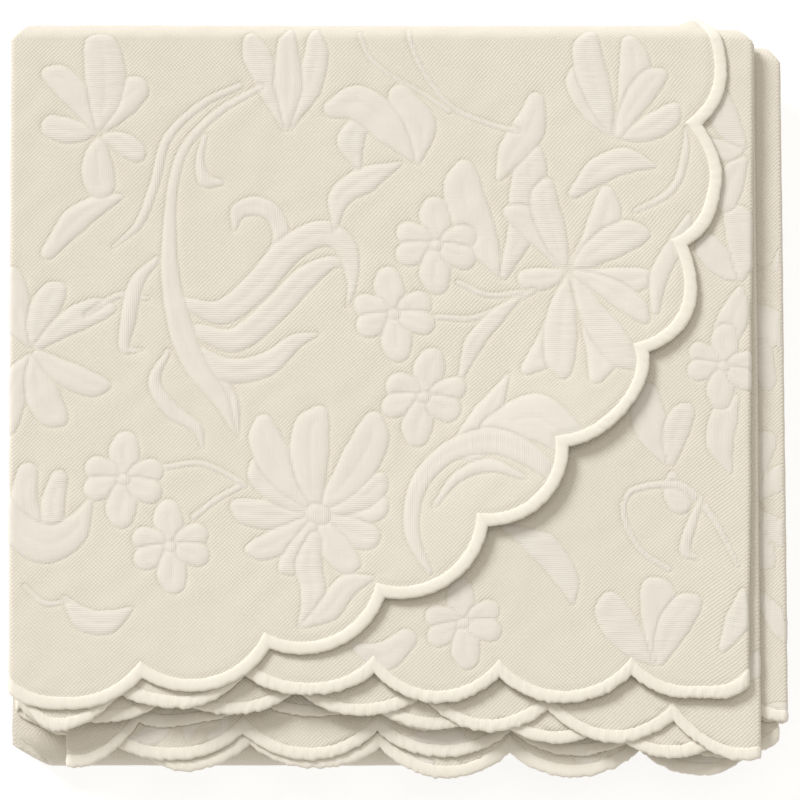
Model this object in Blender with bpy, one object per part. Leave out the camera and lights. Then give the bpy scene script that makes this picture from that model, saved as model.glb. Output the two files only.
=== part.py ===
"""A bedspread of raised-pattern cotton with a bound, scalloped edge, folded up for the shelf.

The sheet is drawn flat first: two rounded corners at the foot, scallops along the foot and both
long hems, and a straight head. Every point of the flat sheet is then folded twice, as hands do it:
back and forth across into five panels, and that strip over and over along its length into four
runs, which makes a pile of twenty layers. Flat points are (s, t, n): s from the foot edge towards
the head, t from the front hem to the back hem, n out of the cloth's face.
All sizes are in millimetres until the last step.
"""

import math

import bmesh
import bpy
from mathutils import Vector
from mathutils.geometry import delaunay_2d_cdt

# Cloth and binding
CLOTH_THICK = 2.2
BINDING_THICK = 2.6
BINDING_WIDE = 9.5
SEAM_GAP = 0.7

# Flat outline, along the line through the notches
CORNER_RADIUS = 470.0
CORNER_LEAD = 32.5
SIDE_SCALLOPS = 12
SCALLOP_DEEP = 0.209  # share of its width
SCALLOP_STEPS = 6
HEAD = 2298.3

# Scallops along each long hem from the foot corner towards the head: how many, and how wide each is.
# The last ones share what is left of the hem.
FRONT_HEM = ((1, 74.5), (1, 88.5), (1, 90.5), (1, 88.0), (1, 93.0), (7, 82.5))
FRONT_HEM_LAST = 9
BACK_HEM = ((1, 68.3), (5, 88.4), (1, 99.0), (4, 93.0), (3, 79.0))
BACK_HEM_LAST = 7
# Scallops round a foot corner from the long hem to the foot. The last one takes what is left.
CORNER_WIDTHS = (96.0, 91.0, 88.0, 88.0, 80.0, 84.0, 86.0, 91.0)

# Folding across: the length of each panel between its folds
PITCH = 3.0
FOLD_ARC = math.pi * PITCH / 2
PANELS = (497.4, 514.8, 488.8, 493.0)

# Folding along: the middle of each turn on the flat sheet
REAR_TURN = 503.0
FRONT_TURN = 1044.0
INNER_TURN = 1558.0
TURNS = (REAR_TURN, FRONT_TURN, INNER_TURN)
TURN_STEPS = (6, 5, 5)
HEM_TO_HEM = 2067.0
LAYERS = 20
PANEL_CUTS = (-140, 0, 30, 60, 90, 120, 250)
SLACK = 5.0
REAR_Y = 258.0
FRONT_Y = -243.0
INNER_Y = REAR_Y + SLACK - 5.5 * PITCH
BOX_CENTRE = (-0.4, 2.28)

# Where the foot edge, the four folds and the head lie from left to right, as t goes through the pile
FOLD_LINES = (
    # t,     foot,   left,   right,  left,   right,  head
    (0, 229.0, -266.4, 241.4, -242.4, 249.4, -20.0),
    (177, 229.0, -267.5, 244.0, -242.0, 249.4, -20.0),
    (239, 239.0, -268.0, 245.0, -241.5, 249.4, -20.0),
    (316, 230.0, -268.6, 246.4, -241.0, 249.4, -20.0),
    (358, 224.0, -268.9, 247.2, -240.7, 249.4, -20.0),
    (411, 219.0, -269.2, 248.0, -240.5, 249.4, -20.0),
    (475, 212.0, -269.4, 248.4, -240.0, 249.4, -20.0),
    (531, 218.0, -269.0, 250.0, -242.0, 252.0, -18.0),
    (1029, 226.0, -265.0, 252.0, -236.0, 258.0, -12.0),
    (1059, 228.0, -264.5, 255.0, -232.0, 262.0, -8.0),
    (1546, 229.0, -264.0, 260.0, -228.0, 266.0, -4.0),
    (1570, 229.0, -263.0, 262.4, -227.0, 268.0, -2.0),
    (2067, 229.0, -262.0, 262.4, -226.4, 268.4, -2.0),
)

# How far the left and right ends of each turn are drawn in at its middle
PINCH = ((14.0, 12.0), (26.0, 12.0), (8.0, 9.0))

# The notch line of each panel's hem in the finished pile, from the foot panel to the head panel: x, y
FRONT_HEM_LINES = (
    ((-266, -220), (-225, -216)),
    ((-266, -220), (-240, -233), (-155, -214), (-60, -204), (28, -210), (205, -208), (244, -216)),
    ((-242, -227), (-222, -225), (-180, -203), (-120, -190), (150, -186), (205, -200), (244, -216)),
    ((-242, -227), (-193, -222), (-106, -217), (-20, -218), (69, -229), (167, -237), (252, -250)),
    ((-20, -225), (252, -250)),
)
BACK_HEM_LINES = (
    ((-262, -226), (230, -224)),
    ((-262, -226), (-232, -232), (-148, -253), (-60, -251), (41, -258), (216, -256), (262, -245)),
    ((-226, -254), (-203, -249), (-152, -245), (-64, -245), (23, -243), (205, -241), (262, -245)),
    ((-226, -254), (-130, -222), (-61, -218), (21, -227), (106, -226), (268, -222)),
    ((-2, -208), (268, -222)),
)


def ease(value, start, end):
    """0 before start, 1 after end, smooth between."""
    share = min(max((value - start) / (end - start), 0.0), 1.0)
    return share * share * (3 - 2 * share)


def read_row(rows, key):
    """The row of a table at key, blended between the two rows round it."""
    if key <= rows[0][0]:
        return rows[0][1:]
    for low, high in zip(rows, rows[1:]):
        if key <= high[0]:
            share = ease(key, low[0], high[0])
            return tuple(a + (b - a) * share for a, b in zip(low[1:], high[1:]))
    return rows[-1][1:]


# Flat outline


def hem_notches(rows, last_count):
    """Where the notches of a long hem are, from the foot corner to the head."""
    at = [CORNER_RADIUS + CORNER_LEAD]
    for count, wide in rows:
        for _ in range(count):
            at.append(at[-1] + wide)
    rest = (HEAD - at[-1]) / last_count
    for _ in range(last_count):
        at.append(at[-1] + rest)
    return at


def corner_notches():
    """The notches round the front corner, from the hem to the foot."""
    points = []
    along_arc = -CORNER_LEAD
    for wide in CORNER_WIDTHS:
        along_arc += wide
        turned = along_arc / CORNER_RADIUS
        points.append((CORNER_RADIUS * (1 - math.sin(turned)), CORNER_RADIUS * (1 - math.cos(turned))))
    return points


def all_notches():
    """Every notch, from the head end of the front hem round the foot to the head end of the back hem."""
    front = [(s, 0.0) for s in reversed(hem_notches(FRONT_HEM, FRONT_HEM_LAST))]
    back = [(s, HEM_TO_HEM) for s in hem_notches(BACK_HEM, BACK_HEM_LAST)]
    corner = corner_notches()
    start = CORNER_RADIUS + CORNER_LEAD
    side = [(0.0, start + i * (HEM_TO_HEM - 2 * start) / SIDE_SCALLOPS) for i in range(SIDE_SCALLOPS + 1)]
    far_corner = [(s, HEM_TO_HEM - t) for s, t in reversed(corner)]
    return [Vector(p) for p in front + corner + side + far_corner + back]


def scalloped_line(inset):
    """The sheet's outline, drawn in by inset, counter-clockwise."""
    notches = all_notches()
    arcs = []
    for a, b in zip(notches, notches[1:]):
        chord = b - a
        out = Vector((-chord.y, chord.x)).normalized()
        deep = SCALLOP_DEEP * chord.length
        radius = (chord.length_squared / 4 + deep**2) / (2 * deep)
        arcs.append(((a + b) / 2 - out * (radius - deep), out, chord.normalized(), radius))

    def mitre(i):
        """The drawn-in notch between arcs i - 1 and i."""
        if i in (0, len(arcs)):
            centre, _, _, radius = arcs[min(i, len(arcs) - 1)]
            s = HEAD - inset
            deep = math.sqrt((radius - inset) ** 2 - (s - centre.x) ** 2)
            return Vector((s, centre.y + (deep if i else -deep)))
        inward = -(arcs[i - 1][1] + arcs[i][1]).normalized()
        deep = 0.0
        for centre, _, _, radius in (arcs[i - 1], arcs[i]):
            down = (notches[i] - centre).dot(inward)
            deep -= (down + math.sqrt(down**2 - radius**2 + (radius - inset) ** 2)) / 2
        return notches[i] + inward * deep

    points = []
    for i, (centre, out, way, radius) in enumerate(arcs):
        first, last = mitre(i), mitre(i + 1)
        start = math.atan2((first - centre).dot(way), (first - centre).dot(out))
        end = math.atan2((last - centre).dot(way), (last - centre).dot(out))
        points.append(first)
        for step in range(1, SCALLOP_STEPS):
            angle = start + (end - start) * step / SCALLOP_STEPS
            points.append(centre + (out * math.cos(angle) + way * math.sin(angle)) * (radius - inset))
    points.append(mitre(len(arcs)))
    return points[::-1]


# Folding


def panel_starts():
    """Where each panel starts on the flat sheet, with the head at the end."""
    starts = [0.0]
    for length in PANELS:
        starts.append(starts[-1] + length + FOLD_ARC)
    return starts


STARTS = panel_starts()


def panel_length(i):
    return PANELS[i] if i < 4 else HEAD - STARTS[4]


def place_across(s):
    """The panel at s, how far along it, how far round the fold after it, and the middle's layer."""
    for i, start in enumerate(STARTS):
        if s <= start + panel_length(i) or i == 4:
            return i, (s - start) / panel_length(i), None, float(i)
        if s < STARTS[i + 1]:
            turned = math.pi * (s - start - panel_length(i)) / FOLD_ARC
            return i, 1.0, turned, i + 0.5 - 0.5 * math.cos(turned)


def turn_axes(turn, layer):
    """Half the height and half the depth of a turn for the cloth in one layer."""
    if turn == INNER_TURN:
        return (0.5 + layer) * PITCH, (0.5 + layer) * PITCH
    tall = 9.5 if turn == REAR_TURN else 4.5
    return (tall - layer) * PITCH, SLACK + (4 - layer) * PITCH


def turn_span(turn, middle):
    """Where a turn starts and ends on the flat sheet. The outer panels need more cloth for it."""
    tall, deep = turn_axes(turn, middle)
    half = math.pi * math.hypot(tall, deep) / math.sqrt(8)
    return turn - half, turn + half


def fold_lines(t, middle):
    """Where the foot, the four folds and the head lie at t, with the ends of the turns drawn in."""
    lines = list(read_row(FOLD_LINES, t))
    for turn, (left, right) in zip(TURNS, PINCH):
        start, end = turn_span(turn, middle)
        if start < t < end:
            drawn = math.sin(math.pi * (t - start) / (end - start))
            for i, pull in ((1, left), (2, -right), (3, left), (4, -right)):
                lines[i] += pull * drawn
    return lines


def across(s, t, n):
    """x, the layer that the point lies in, and the layer of the cloth's middle, after folding across."""
    i, share, turned, middle = place_across(s)
    lines = fold_lines(t, middle)
    side = -1 if i % 2 == 0 else 1
    if turned is None:
        return lines[i] + (lines[i + 1] - lines[i]) * share, i + side * n / PITCH, middle
    radius = PITCH / 2 - side * n
    x = lines[i + 1] + side * radius * math.sin(turned)
    return x, i + 0.5 - radius / PITCH * math.cos(turned), middle


def hem_y(lines, x, middle):
    """The notch line of a hem at x, blended from one panel to the next in a fold."""
    panel = min(int(middle), 4)
    y = read_row(lines[panel], x)[0]
    if middle > panel:
        y += (read_row(lines[panel + 1], x)[0] - y) * (middle - panel)
    return y


def along(t, x, layer, middle):
    """y and z after folding along. Layer 0 is the foot panel, outermost in the pile."""
    places = (REAR_Y, FRONT_Y + 22.0 * ease(x, 0, 120), INNER_Y)
    heights = ((LAYERS - 0.5 - layer), 0.5 + layer, 9.5 - layer, 10.5 + layer)
    spans = [turn_span(turn, middle) for turn in TURNS]
    for i, (start, end) in enumerate(spans):
        if start <= t <= end:
            turned = math.pi * (t - start) / (end - start)
            tall, deep = turn_axes(TURNS[i], layer)
            way = -1 if TURNS[i] == FRONT_TURN else 1
            centre = (heights[i] + heights[i + 1]) / 2 * PITCH
            rise = tall if heights[i + 1] > heights[i] else -tall
            return places[i] + way * deep * math.sin(turned), centre - rise * math.cos(turned)
    run = sum(t > end for _, end in spans)
    first = hem_y(FRONT_HEM_LINES, x, middle) if run == 0 else places[run - 1]
    last = hem_y(BACK_HEM_LINES, x, middle) if run == 3 else places[run]
    start = 0.0 if run == 0 else spans[run - 1][1]
    end = HEM_TO_HEM if run == 3 else spans[run][0]
    return first + (last - first) * (t - start) / (end - start), heights[run] * PITCH


def hem_lift(s, t, middle):
    """How far the rounded corner on top stands off the panel below it."""
    if middle > 0.5 or t > 460:
        return 0.0
    from_centre = math.hypot(CORNER_RADIUS - s, CORNER_RADIUS - t)
    turned = math.degrees(math.atan2(CORNER_RADIUS - s, CORNER_RADIUS - t))
    high = 0.6 + 3.2 * math.exp(-(((turned - 47) / 17) ** 2))
    return high * ease(from_centre, 380, 485) * ease(turned, -2, 14) * ease(460 - t, 0, 90)


def unevenness(x, y):
    """How much taller or lower than its neighbours the pile is at x, y."""
    slow = math.sin(x / 96 + 0.6) * math.cos(y / 88 - 0.4)
    tilt = 0.4 * math.sin((x - 0.7 * y) / 140)
    return 0.014 * slow + 0.012 * tilt


def folded(s, t, n):
    """The place of a flat point in the folded pile."""
    x, layer, middle = across(s, t, n)
    y, z = along(t, x, layer, middle)
    z = z - (PITCH - CLOTH_THICK) / 2
    z = z * (1 + unevenness(x, y)) + hem_lift(s, t, middle)
    tip = math.exp(-(((s - 4) / 9) ** 2) - ((t - 500) / 12) ** 2)
    y += 6.0 * tip
    return Vector((x - BOX_CENTRE[0], y - BOX_CENTRE[1], max(z, 0.0))) / 1000


# Meshes


def s_cuts():
    """Where the sheet is cut from hem to hem so that it can bend: at the folds and within panels."""
    cuts = []
    for i, start in enumerate(STARTS):
        lines = fold_lines(1300, i)
        for x in PANEL_CUTS:
            share = (x - lines[i]) / (lines[i + 1] - lines[i])
            if 0.03 < share < 0.97:
                cuts.append(start + panel_length(i) * share)
        if i < 4:
            cuts += [start + panel_length(i) + FOLD_ARC * k / 4 for k in range(5)]
    return sorted(cuts)


def t_cuts(middle):
    """Where it is cut the other way in one layer: four times in each run, and through each turn."""
    cuts, last = [], 0.0
    for turn, steps in zip(TURNS, TURN_STEPS):
        start, end = turn_span(turn, middle)
        cuts += [last + (start - last) * k / 5 for k in range(1, 5)]
        cuts += [start + (end - start) * k / steps for k in range(steps + 1)]
        last = end
    return cuts + [last + (HEM_TO_HEM - last) * k / 5 for k in range(1, 5)]


def flat_triangles(outline, hole):
    """The flat shape between two lines, in triangles that no fold line crosses."""
    points, faces = list(outline), [list(range(len(outline)))]
    if hole:
        faces.append(list(range(len(points), len(points) + len(hole))))
        points += hole
    edges = []
    stations = [-40.0, *s_cuts(), HEAD + 40]
    for s in stations[1:-1]:
        edges.append((len(points), len(points) + 1))
        points += [Vector((s, -40)), Vector((s, HEM_TO_HEM + 40))]
    for line in zip(*(t_cuts(place_across(s)[3]) for s in stations)):
        edges += [(len(points) + k, len(points) + k + 1) for k in range(len(line) - 1)]
        points += [Vector(p) for p in zip(stations, line)]
    found = delaunay_2d_cdt(points, edges, faces, 0, 1e-5)
    inside = [face for face, of in zip(found[2], found[5]) if of == [0]]
    return found[0], inside


def sheet(name, outline, hole, thick, material):
    """One closed solid: the flat shape, thick on both sides of its middle, folded point by point."""
    points, faces = flat_triangles(outline, hole)
    used = sorted({i for face in faces for i in face})
    mesh = bmesh.new()
    top = {i: mesh.verts.new(folded(*points[i], thick / 2)) for i in used}
    bottom = {i: mesh.verts.new(folded(*points[i], -thick / 2)) for i in used}
    rims = {}
    for face in faces:
        mesh.faces.new([top[i] for i in face])
        mesh.faces.new([bottom[i] for i in reversed(face)])
        for a, b in zip(face, face[1:] + face[:1]):
            rims[a, b] = rims.pop((b, a), None) is None
    for (a, b), rim in rims.items():
        if rim:
            mesh.faces.new((top[b], top[a], bottom[a], bottom[b]))
    bmesh.ops.recalc_face_normals(mesh, faces=mesh.faces)
    data = bpy.data.meshes.new(name)
    mesh.to_mesh(data)
    mesh.free()
    data.materials.append(material)
    made = bpy.data.objects.new(name, data)
    bpy.context.scene.collection.objects.link(made)
    print(name, len(faces) * 2 + 2 * sum(rims.values()), "triangles")
    return made


def cotton(name, colour, roughness):
    material = bpy.data.materials.new(name)
    material.use_nodes = True
    surface = material.node_tree.nodes["Principled BSDF"]
    surface.inputs["Base Color"].default_value = (*colour, 1)
    surface.inputs["Roughness"].default_value = roughness
    return material


def main():
    for obj in list(bpy.data.objects):
        bpy.data.objects.remove(obj)
    ivory = cotton("ivory_cotton", (0.80, 0.75, 0.66), 0.9)
    stitched = cotton("stitched_cotton", (0.86, 0.82, 0.75), 0.8)
    sheet("cloth", scalloped_line(BINDING_WIDE + SEAM_GAP), None, CLOTH_THICK, ivory)
    sheet("edge_binding", scalloped_line(0.0), scalloped_line(BINDING_WIDE), BINDING_THICK, stitched)


main()
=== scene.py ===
# %% [markdown]
# A folded bedspread of raised-pattern cotton, with a scalloped edge bound in thick stitching.
# The frame holds its true folds: one sheet folded back and forth across, then over and over along its length.
# This script gives that sheet its fine surface: woven figures that stand up from a dotted ground, the
# stitched lines round them, and the rounded, ribbed binding. Lengths are in millimetres until a mesh is
# finished.

# %% Load the frame
import math

import bpy
import numpy as np
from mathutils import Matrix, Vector
from mathutils.kdtree import KDTree


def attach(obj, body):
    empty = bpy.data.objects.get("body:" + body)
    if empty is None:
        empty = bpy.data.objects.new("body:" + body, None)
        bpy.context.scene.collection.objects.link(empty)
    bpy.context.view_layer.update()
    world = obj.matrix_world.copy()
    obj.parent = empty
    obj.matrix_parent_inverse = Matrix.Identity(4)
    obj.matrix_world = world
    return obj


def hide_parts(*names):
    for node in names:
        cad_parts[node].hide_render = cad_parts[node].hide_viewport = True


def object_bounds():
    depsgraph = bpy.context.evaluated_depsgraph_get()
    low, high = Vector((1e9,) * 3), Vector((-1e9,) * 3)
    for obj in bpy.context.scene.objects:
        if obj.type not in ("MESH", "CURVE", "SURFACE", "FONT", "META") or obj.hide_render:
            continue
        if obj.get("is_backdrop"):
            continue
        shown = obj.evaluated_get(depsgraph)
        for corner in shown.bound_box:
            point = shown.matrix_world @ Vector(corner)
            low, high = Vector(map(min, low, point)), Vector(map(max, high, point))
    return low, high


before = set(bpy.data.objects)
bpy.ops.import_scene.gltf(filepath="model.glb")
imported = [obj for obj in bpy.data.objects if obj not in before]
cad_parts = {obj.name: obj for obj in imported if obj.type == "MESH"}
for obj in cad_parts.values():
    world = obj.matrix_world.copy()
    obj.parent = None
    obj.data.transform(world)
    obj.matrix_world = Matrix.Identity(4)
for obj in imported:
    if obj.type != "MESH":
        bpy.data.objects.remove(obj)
cad_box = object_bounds()
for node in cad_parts.values():
    node.select_set(False)
print("frame nodes:", sorted(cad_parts))

# %% [markdown]
# The sheet is easiest to think of flat. A point of it is (s, t, n): s runs from the foot edge to the head,
# t from the front hem to the back hem, and n stands out of the cloth's face. These are the same sizes as the
# frame was made from, so a point that is folded here lands on the frame's solid. The one exception is the
# rounded corner on top, which stands up to 1.8 mm higher here, for the shade under it.

# %% Sizes of the flat sheet and of the pile
CLOTH_THICK = 2.2
BINDING_THICK = 2.6
CORNER_RADIUS = 470.0
CORNER_LEAD = 32.5
SIDE_SCALLOPS = 12
SCALLOP_DEEP = 0.209  # share of its width
HEAD = 2298.3
HEM_TO_HEM = 2067.0
PITCH = 3.0
LAYERS = 20
FOLD_ARC = math.pi * PITCH / 2
REAR_TURN, FRONT_TURN, INNER_TURN = 503.0, 1044.0, 1558.0
TURNS = (REAR_TURN, FRONT_TURN, INNER_TURN)
SLACK = 5.0
REAR_Y = 258.0
FRONT_Y = -243.0
INNER_Y = REAR_Y + SLACK - 5.5 * PITCH
BOX_CENTRE = (-0.4, 2.28)
PANELS = (497.4, 514.8, 488.8, 493.0)
STARTS = np.concatenate([[0.0], np.cumsum([length + FOLD_ARC for length in PANELS])])
LENGTHS = np.array([*PANELS, HEAD - STARTS[4]])
print(f"flat sheet {HEAD / 1000:.2f} x {HEM_TO_HEM / 1000:.2f} m between notches, {LAYERS} layers")

# %% [markdown]
# Folded cloth is never square: each fold line wanders a little, and each hem stops short of or past the one
# above it. Short tables hold that. A fold line's row says where the foot edge, the four folds and the head
# lie across the pile; a hem's row says where its notch line runs, from the foot panel to the head panel.

# %% Where the folds and hems lie
FOLD_LINES = (
    # t,     foot,   left,   right,  left,   right,  head
    (0, 229.0, -266.4, 241.4, -242.4, 249.4, -20.0),
    (177, 229.0, -267.5, 244.0, -242.0, 249.4, -20.0),
    (239, 239.0, -268.0, 245.0, -241.5, 249.4, -20.0),
    (316, 230.0, -268.6, 246.4, -241.0, 249.4, -20.0),
    (358, 224.0, -268.9, 247.2, -240.7, 249.4, -20.0),
    (411, 219.0, -269.2, 248.0, -240.5, 249.4, -20.0),
    (475, 212.0, -269.4, 248.4, -240.0, 249.4, -20.0),
    (531, 218.0, -269.0, 250.0, -242.0, 252.0, -18.0),
    (1029, 226.0, -265.0, 252.0, -236.0, 258.0, -12.0),
    (1059, 228.0, -264.5, 255.0, -232.0, 262.0, -8.0),
    (1546, 229.0, -264.0, 260.0, -228.0, 266.0, -4.0),
    (1570, 229.0, -263.0, 262.4, -227.0, 268.0, -2.0),
    (2067, 229.0, -262.0, 262.4, -226.4, 268.4, -2.0),
)
PINCH = ((14.0, 12.0), (26.0, 12.0), (8.0, 9.0))
FRONT_HEM_LINES = (
    ((-266, -220), (-225, -216)),
    ((-266, -220), (-240, -233), (-155, -214), (-60, -204), (28, -210), (205, -208), (244, -216)),
    ((-242, -227), (-222, -225), (-180, -203), (-120, -190), (150, -186), (205, -200), (244, -216)),
    ((-242, -227), (-193, -222), (-106, -217), (-20, -218), (69, -229), (167, -237), (252, -250)),
    ((-20, -225), (252, -250)),
)
BACK_HEM_LINES = (
    ((-262, -226), (230, -224)),
    ((-262, -226), (-232, -232), (-148, -253), (-60, -251), (41, -258), (216, -256), (262, -245)),
    ((-226, -254), (-203, -249), (-152, -245), (-64, -245), (23, -243), (205, -241), (262, -245)),
    ((-226, -254), (-130, -222), (-61, -218), (21, -227), (106, -226), (268, -222)),
    ((-2, -208), (268, -222)),
)
FRONT_HEM = ((1, 74.5), (1, 88.5), (1, 90.5), (1, 88.0), (1, 93.0), (7, 82.5))
FRONT_HEM_LAST = 9
BACK_HEM = ((1, 68.3), (5, 88.4), (1, 99.0), (4, 93.0), (3, 79.0))
BACK_HEM_LAST = 7
CORNER_WIDTHS = (96.0, 91.0, 88.0, 88.0, 80.0, 84.0, 86.0, 91.0)
CORNER_OFF, CORNER_RISE = 0.6, 5.0


# %% [markdown]
# Now the folding itself, worked out for thousands of points at once with arrays. Folding across turns s into
# x and a layer number; folding along turns t and that layer into y and z. Each turn is half an ellipse, wider
# for the outer layers, and the cloth is given just the length that its own turn needs.

# %% Read a table smoothly
def ease(value, start, end):
    """0 before start, 1 after end, smooth between."""
    share = np.clip((value - start) / (end - start), 0, 1)
    return share * share * (3 - 2 * share)


def read_rows(rows, key):
    """The rows of a table at each key, blended between the two rows round it."""
    rows = np.array(rows, float)
    low = np.clip(np.searchsorted(rows[:, 0], key) - 1, 0, len(rows) - 2)
    share = ease(key, rows[low, 0], rows[low + 1, 0])[:, None]
    return rows[low, 1:] * (1 - share) + rows[low + 1, 1:] * share


# %% Fold across
def place_across(s):
    """The panel at s, how far along it, how far round the fold after it, and the middle's layer."""
    panel = np.clip(np.searchsorted(STARTS, s, side="right") - 1, 0, 4)
    past = s - STARTS[panel] - LENGTHS[panel]
    turned = np.where((past > 0) & (panel < 4), np.pi * past / FOLD_ARC, 0.0)
    return panel, 1 + past / LENGTHS[panel], turned, panel + 0.5 - 0.5 * np.cos(turned)


def turn_axes(turn, layer):
    """Half the height and half the depth of a turn for the cloth in one layer."""
    if turn == INNER_TURN:
        return (0.5 + layer) * PITCH, (0.5 + layer) * PITCH
    tall = 9.5 if turn == REAR_TURN else 4.5
    return (tall - layer) * PITCH, SLACK + (4 - layer) * PITCH


def turn_span(turn, middle):
    """Where a turn starts and ends on the flat sheet."""
    half = np.pi * np.hypot(*turn_axes(turn, middle)) / math.sqrt(8)
    return turn - half, turn + half


def across(s, t, n):
    """x, the layer of the point, and the layer of the cloth's middle."""
    panel, share, turned, middle = place_across(s)
    lines = read_rows(FOLD_LINES, t)
    for turn, (left, right) in zip(TURNS, PINCH):
        start, end = turn_span(turn, middle)
        drawn = np.sin(np.pi * np.clip((t - start) / (end - start), 0, 1))[:, None]
        lines[:, [1, 3]] += left * drawn
        lines[:, [2, 4]] -= right * drawn
    row = np.arange(len(s))
    side = np.where(panel % 2 == 0, -1.0, 1.0)
    flat_x = lines[row, panel] * (1 - share) + lines[row, panel + 1] * share
    radius = PITCH / 2 - side * n
    fold_x = lines[row, panel + 1] + side * radius * np.sin(turned)
    in_fold = turned > 0
    layer = np.where(in_fold, panel + 0.5 - radius / PITCH * np.cos(turned), panel + side * n / PITCH)
    return np.where(in_fold, fold_x, flat_x), layer, middle


# %% Fold along
def hem_y(lines, x, middle):
    """The notch line of a hem at x, blended from one panel to the next in a fold."""
    each = np.stack([read_rows(rows, x)[:, 0] for rows in lines])
    panel = np.clip(middle.astype(int), 0, 4)
    row = np.arange(len(x))
    here, there = each[panel, row], each[np.clip(panel + 1, 0, 4), row]
    return here + (there - here) * (middle - panel)


def along(t, x, layer, middle):
    """y and z of each point."""
    stops = [hem_y(FRONT_HEM_LINES, x, middle), np.full_like(x, REAR_Y), FRONT_Y + 22.0 * ease(x, 0, 120)]
    stops += [np.full_like(x, INNER_Y), hem_y(BACK_HEM_LINES, x, middle)]
    heights = (LAYERS - 0.5 - layer, 0.5 + layer, 9.5 - layer, 10.5 + layer)
    spans = [turn_span(turn, middle) for turn in TURNS]
    starts = [np.zeros_like(t)] + [end for _, end in spans]
    ends = [start for start, _ in spans] + [np.full_like(t, HEM_TO_HEM)]
    y, z = np.zeros_like(t), np.zeros_like(t)
    for run in range(4):
        here = (t > starts[run]) if run else np.ones_like(t, bool)
        share = (t - starts[run]) / (ends[run] - starts[run])
        y = np.where(here, stops[run] + (stops[run + 1] - stops[run]) * share, y)
        z = np.where(here, heights[run] * PITCH, z)
    for i, (start, end) in enumerate(spans):
        turned = np.pi * (t - start) / (end - start)
        tall, deep = turn_axes(TURNS[i], layer)
        way = -1 if TURNS[i] == FRONT_TURN else 1
        rise = np.where(heights[i + 1] > heights[i], tall, -tall)
        here = (t >= start) & (t <= end)
        y = np.where(here, stops[i + 1] + way * deep * np.sin(turned), y)
        z = np.where(here, (heights[i] + heights[i + 1]) / 2 * PITCH - rise * np.cos(turned), z)
    return y, z


# %% Fold a whole set of points
def hem_lift(s, t, middle):
    """How far the rounded corner on top stands off the panel below it."""
    from_centre = np.hypot(CORNER_RADIUS - s, CORNER_RADIUS - t)
    turned = np.degrees(np.arctan2(CORNER_RADIUS - s, CORNER_RADIUS - t))
    high = CORNER_OFF + CORNER_RISE * np.exp(-(((turned - 47) / 17) ** 2))
    high *= ease(from_centre, 380, 485) * ease(turned, -2, 14) * ease(460 - t, 0, 90)
    return np.where((middle > 0.5) | (t > 460), 0.0, high)


def folded(s, t, n):
    """The places of flat points in the folded pile, in metres."""
    x, layer, middle = across(s, t, n)
    y, z = along(t, x, layer, middle)
    slow = np.sin(x / 96 + 0.6) * np.cos(y / 88 - 0.4)
    tilt = 0.4 * np.sin((x - 0.7 * y) / 140)
    z = (z - (PITCH - CLOTH_THICK) / 2) * (1 + 0.014 * slow + 0.012 * tilt) + hem_lift(s, t, middle)
    y = y + 6.0 * np.exp(-(((s - 4) / 9) ** 2) - ((t - 500) / 12) ** 2)
    return np.stack([x - BOX_CENTRE[0], y - BOX_CENTRE[1], np.maximum(z, 0.0)], axis=1) / 1000


probe = folded(np.array([250.0, 250.0]), np.array([200.0, 800.0]), np.array([1.1, 1.1]))
print("a point on top and the same column underneath, m:", np.round(probe, 4).tolist())

# %% [markdown]
# The edge is a row of shallow arcs between notches. The foot corners are quarter circles, with the scallops
# wrapped round them. The same outline drawn in by a few millimetres is the inner line of the binding, where
# neighbouring arcs meet in a mitre, as the stitching does.

# %% The scalloped outline
def hem_notches(rows, last_count):
    """Where the notches of a long hem are, from the foot corner to the head."""
    wide = [w for count, w in rows for _ in range(count)]
    first = CORNER_RADIUS + CORNER_LEAD
    rest = (HEAD - first - sum(wide)) / last_count
    return first + np.concatenate([[0.0], np.cumsum(wide + [rest] * last_count)])


def all_notches():
    """Every notch, from the head end of the front hem round the foot to the head end of the back hem."""
    front = [(s, 0.0) for s in hem_notches(FRONT_HEM, FRONT_HEM_LAST)[::-1]]
    back = [(s, HEM_TO_HEM) for s in hem_notches(BACK_HEM, BACK_HEM_LAST)]
    turned = (np.cumsum(CORNER_WIDTHS) - CORNER_LEAD) / CORNER_RADIUS
    corner = [(CORNER_RADIUS * (1 - math.sin(a)), CORNER_RADIUS * (1 - math.cos(a))) for a in turned]
    start = CORNER_RADIUS + CORNER_LEAD
    side = [(0.0, t) for t in np.linspace(start, HEM_TO_HEM - start, SIDE_SCALLOPS + 1)]
    far_corner = [(s, HEM_TO_HEM - t) for s, t in corner[::-1]]
    return [Vector(p) for p in front + corner + side + far_corner + back]


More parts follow.
